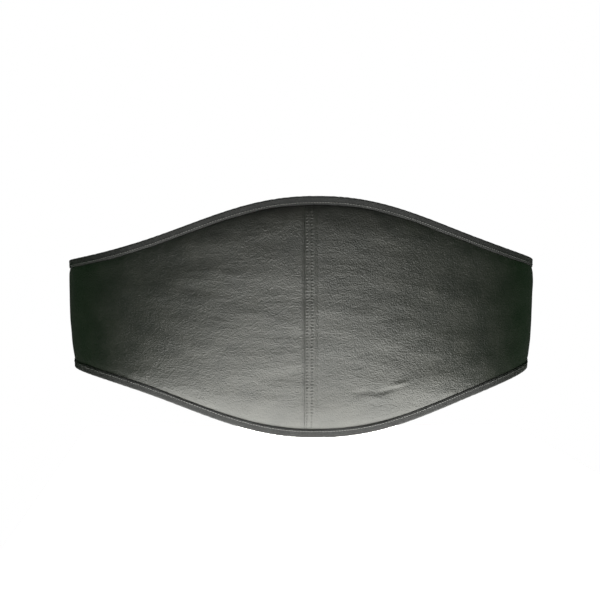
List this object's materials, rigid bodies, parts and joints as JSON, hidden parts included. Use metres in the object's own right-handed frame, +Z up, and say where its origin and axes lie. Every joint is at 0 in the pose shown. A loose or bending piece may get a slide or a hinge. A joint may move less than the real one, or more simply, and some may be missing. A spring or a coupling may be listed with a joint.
{
  "type": "trainer belly pad",
  "caption": "Curved black leather trainer's belly pad with a tall padded front, bound edges and a hook-and-loop strap closed through a steel ring behind.",
  "frame": {"origin": "on the wearer's waist axis, at the pad's mid height", "axes": "+Z up along the wearer's trunk, -Y towards the struck front, +X to the right as the front is seen"},
  "size_m": [0.5362, 0.2682, 0.2622],
  "materials": {
    "cover_leather": "satin",
    "lining_cloth": "matte",
    "binding_tape": "matte",
    "thread": "satin",
    "seam_tape": "matte",
    "strike_foam": "matte",
    "core_foam": "matte",
    "comfort_foam": "matte",
    "webbing": "matte",
    "hook_and_loop": "matte",
    "ring_steel": "polished"
  },
  "bodies": {
    "root": {"outer_cover_left": "cover_leather", "outer_cover_right": "cover_leather", "inner_lining": "lining_cloth", "seam_tape": "seam_tape", "centre_seam_threads": "thread", "strike_foam": "strike_foam", "core_foam": "core_foam", "comfort_foam": "comfort_foam", "top_binding": "binding_tape", "bottom_binding": "binding_tape", "top_binding_threads": "thread", "bottom_binding_threads": "thread", "left_end_cap": "cover_leather", "right_end_cap": "cover_leather", "ring_chape": "webbing", "ring_chape_threads": "thread", "strap_run": "webbing", "loop_strip": "hook_and_loop", "anchor_patch": "cover_leather", "anchor_threads": "thread"},
    "ring": {"ring": "ring_steel", "strap_fold": "webbing"},
    "tail": {"strap_tail": "webbing", "hook_strip": "hook_and_loop", "pull_tab": "cover_leather", "pull_tab_threads": "thread"}
  },
  "joints": [
    {"name": "ring_swing", "type": "hinge", "parent": "root", "child": "ring", "pos_m": [0.1015, 0.13143, 0], "axis": [0, 0, 1], "range_deg": [-8, 8], "deforming": ["strap_run", "loop_strip"]},
    {"name": "tail_peel", "type": "hinge", "parent": "ring", "child": "tail", "pos_m": [0.0755, 0.13693, 0], "axis": [0, 0, -1], "range_deg": [0, 150]}
  ]
}
